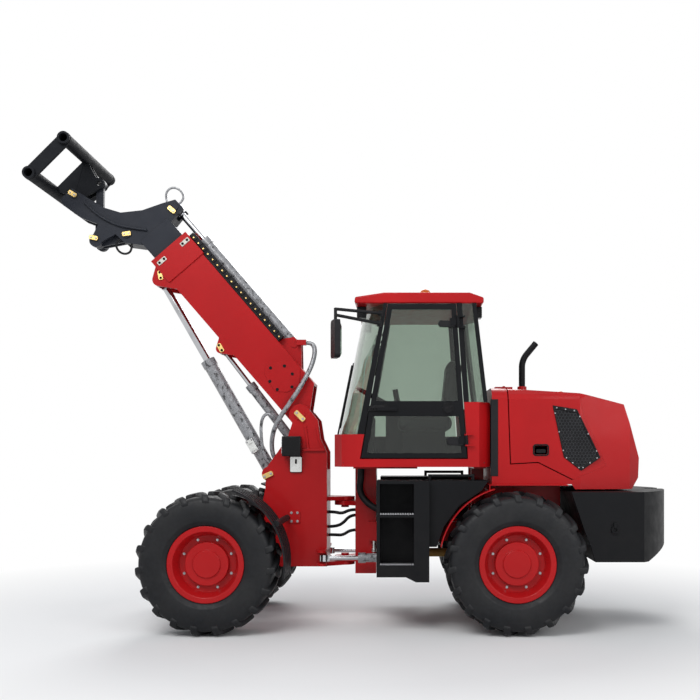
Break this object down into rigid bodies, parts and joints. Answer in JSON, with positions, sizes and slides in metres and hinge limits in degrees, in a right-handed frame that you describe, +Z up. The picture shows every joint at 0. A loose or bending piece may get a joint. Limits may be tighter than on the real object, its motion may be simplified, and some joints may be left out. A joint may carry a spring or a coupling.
{
  "type": "telescopic wheel loader",
  "caption": "Articulated wheel loader with telescopic boom, quick coupler without a bucket, glazed side-door cab, lifting hood and cast counterweight.",
  "frame": {"origin": "middle of the footprint on the ground", "axes": "+X forward, +Y to the machine's left, +Z up"},
  "size_m": [5.0449, 1.8852, 3.8278],
  "materials": {
    "red_paint": "gloss red paint",
    "black_paint": "satin black paint",
    "blue_black": "satin blue-black paint",
    "ochre_paint": "ochre primer",
    "barrel_film": "silver film over the barrels",
    "chrome": "hard chrome",
    "iron": "painted casting",
    "tyre": "moulded rubber",
    "glass": "lightly tinted safety glass",
    "plastic": "grained black plastic",
    "lamp": "moulded lamp bodies",
    "hose": "braided hydraulic hose",
    "seat_cover": "woven seat cover",
    "steel": "bare steel"
  },
  "bodies": {
    "rear_chassis": {"rear_frame": "black_paint", "rear_axle": "iron", "prop_shaft": "ochre_paint", "engine": "iron", "cab_tub": "red_paint", "cab_pillars": "black_paint", "cab_roof": "red_paint", "cab_glass": "glass", "seat_base": "black_paint", "seat": "seat_cover", "dashboard": "plastic", "console": "plastic", "mirrors": "plastic", "wiper": "plastic", "roof_lamps": "lamp", "step_boxes": "black_paint", "rear_fenders": "red_paint", "counterweight": "black_paint", "side_panels": "red_paint", "filler_pipe": "hose", "pivot_hoses": "hose"},
    "door": {"door_frame": "black_paint", "door_glass": "glass"},
    "hood": {"hood_panel": "red_paint", "hood_tail": "red_paint", "hood_grilles": "plastic", "exhaust_stack": "black_paint", "hood_lamps": "lamp"},
    "front_chassis": {"front_frame": "red_paint", "front_axle": "iron", "front_fenders": "plastic", "front_lamps": "lamp", "boom_hoses": "hose"},
    "boom": {"outer_boom": "red_paint", "tele_barrel": "barrel_film", "hose_chain": "plastic"},
    "boom_head": {"inner_boom": "blue_black", "tele_rod": "chrome", "head_hoses": "hose"},
    "rocker": {"rocker": "blue_black"},
    "tilt_link": {"tilt_link": "blue_black"},
    "coupler": {"coupler_frame": "blue_black"},
    "lift_barrel": {"lift_barrel": "barrel_film"},
    "lift_rod": {"lift_rod": "chrome"},
    "level_barrel": {"level_barrel": "barrel_film"},
    "level_rod": {"level_rod": "chrome"},
    "steer_barrel_left": {"steer_barrel_left": "barrel_film"},
    "steer_rod_left": {"steer_rod_left": "chrome"},
    "steer_barrel_right": {"steer_barrel_right": "barrel_film"},
    "steer_rod_right": {"steer_rod_right": "chrome"},
    "wheel_front_left": {"tyre_front_left": "tyre", "rim_front_left": "red_paint"},
    "wheel_front_right": {"tyre_front_right": "tyre", "rim_front_right": "red_paint"},
    "wheel_rear_left": {"tyre_rear_left": "tyre", "rim_rear_left": "red_paint"},
    "wheel_rear_right": {"tyre_rear_right": "tyre", "rim_rear_right": "red_paint"}
  },
  "joints": [
    {"name": "steer", "type": "hinge", "parent": "rear_chassis", "child": "front_chassis", "pos_m": [0.08, 0, 0.7], "axis": [0, 0, 1], "range_deg": [-35, 35], "deforming": ["pivot_hoses"]},
    {"name": "boom_lift", "type": "hinge", "parent": "front_chassis", "child": "boom", "pos_m": [0.434, 0, 1.663], "axis": [0, -1, 0], "range_deg": [-72, 0], "deforming": ["boom_hoses"]},
    {"name": "telescope", "type": "slide", "parent": "boom", "child": "boom_head", "axis": [0.6534, 0, 0.757], "range_m": [0, 0.85]},
    {"name": "coupler_tilt", "type": "hinge", "parent": "boom_head", "child": "coupler", "pos_m": [2.29101, 0, 3.46696], "axis": [0, 1, 0], "range_deg": [-15, 70]},
    {"name": "rocker_turn", "type": "hinge", "parent": "boom_head", "child": "rocker", "pos_m": [1.85905, 0, 3.141], "axis": [0, 1, 0], "range_deg": [-43, 10]},
    {"name": "link_turn", "type": "hinge", "parent": "rocker", "child": "tilt_link", "pos_m": [2.1115, 0, 3.09219], "axis": [0, 1, 0], "range_deg": [-16, 70]},
    {"name": "lift_barrel_turn", "type": "hinge", "parent": "front_chassis", "child": "lift_barrel", "pos_m": [0.683, 0, 1.188], "axis": [0, -1, 0], "range_deg": [-75, 1]},
    {"name": "lift_rod_slide", "type": "slide", "parent": "lift_barrel", "child": "lift_rod", "axis": [0.4968, 0, 0.8678], "range_m": [-0.64, 0.01]},
    {"name": "level_barrel_turn", "type": "hinge", "parent": "front_chassis", "child": "level_barrel", "pos_m": [0.505, 0, 1.445], "axis": [0, -1, 0], "range_deg": [-74, 1]},
    {"name": "level_rod_slide", "type": "slide", "parent": "level_barrel", "child": "level_rod", "axis": [0.606, 0, 0.7954], "range_m": [-0.28, 0.01]},
    {"name": "steer_barrel_turn_left", "type": "hinge", "parent": "rear_chassis", "child": "steer_barrel_left", "pos_m": [-0.45, 0.26, 0.52], "axis": [0, 0, 1], "range_deg": [-9, 9]},
    {"name": "steer_rod_slide_left", "type": "slide", "parent": "steer_barrel_left", "child": "steer_rod_left", "axis": [0.9983, 0.0587, 0], "range_m": [-0.18, 0.18]},
    {"name": "steer_barrel_turn_right", "type": "hinge", "parent": "rear_chassis", "child": "steer_barrel_right", "pos_m": [-0.45, -0.26, 0.52], "axis": [0, 0, 1], "range_deg": [-9, 9]},
    {"name": "steer_rod_slide_right", "type": "slide", "parent": "steer_barrel_right", "child": "steer_rod_right", "axis": [0.9983, -0.0587, 0], "range_m": [-0.18, 0.18]},
    {"name": "door_swing", "type": "hinge", "parent": "rear_chassis", "child": "door", "pos_m": [-0.89, 0.684, 1.312], "axis": [0.0711, 0, 0.9975], "range_deg": [0, 80]},
    {"name": "hood_lift", "type": "hinge", "parent": "rear_chassis", "child": "hood", "pos_m": [-1.197, 0, 1.872], "axis": [0, 1, 0], "range_deg": [0, 40]},
    {"name": "wheel_spin_front_left", "type": "hinge", "parent": "front_chassis", "child": "wheel_front_left", "pos_m": [1.055, 0.725, 0.535], "axis": [0, 1, 0], "continuous": true},
    {"name": "wheel_spin_front_right", "type": "hinge", "parent": "front_chassis", "child": "wheel_front_right", "pos_m": [1.055, -0.725, 0.535], "axis": [0, 1, 0], "continuous": true},
    {"name": "wheel_spin_rear_left", "type": "hinge", "parent": "rear_chassis", "child": "wheel_rear_left", "pos_m": [-1.245, 0.725, 0.535], "axis": [0, 1, 0], "continuous": true},
    {"name": "wheel_spin_rear_right", "type": "hinge", "parent": "rear_chassis", "child": "wheel_rear_right", "pos_m": [-1.245, -0.725, 0.535], "axis": [0, 1, 0], "continuous": true}
  ],
  "couplings": [
    {"joint": "rocker_turn", "follows": "coupler_tilt", "ratio": -0.594},
    {"joint": "link_turn", "follows": "coupler_tilt", "ratio": 0.992},
    {"joint": "lift_barrel_turn", "follows": "boom_lift", "ratio": 1.0255},
    {"joint": "lift_rod_slide", "follows": "boom_lift", "m_per_rad": 0.50031},
    {"joint": "level_barrel_turn", "follows": "boom_lift", "ratio": 1.0073},
    {"joint": "level_rod_slide", "follows": "boom_lift", "m_per_rad": 0.2144},
    {"joint": "steer_barrel_turn_left", "follows": "steer", "ratio": 0.2203},
    {"joint": "steer_rod_slide_left", "follows": "steer", "m_per_rad": -0.2823},
    {"joint": "steer_barrel_turn_right", "follows": "steer", "ratio": 0.2203},
    {"joint": "steer_rod_slide_right", "follows": "steer", "m_per_rad": 0.2823}
  ]
}
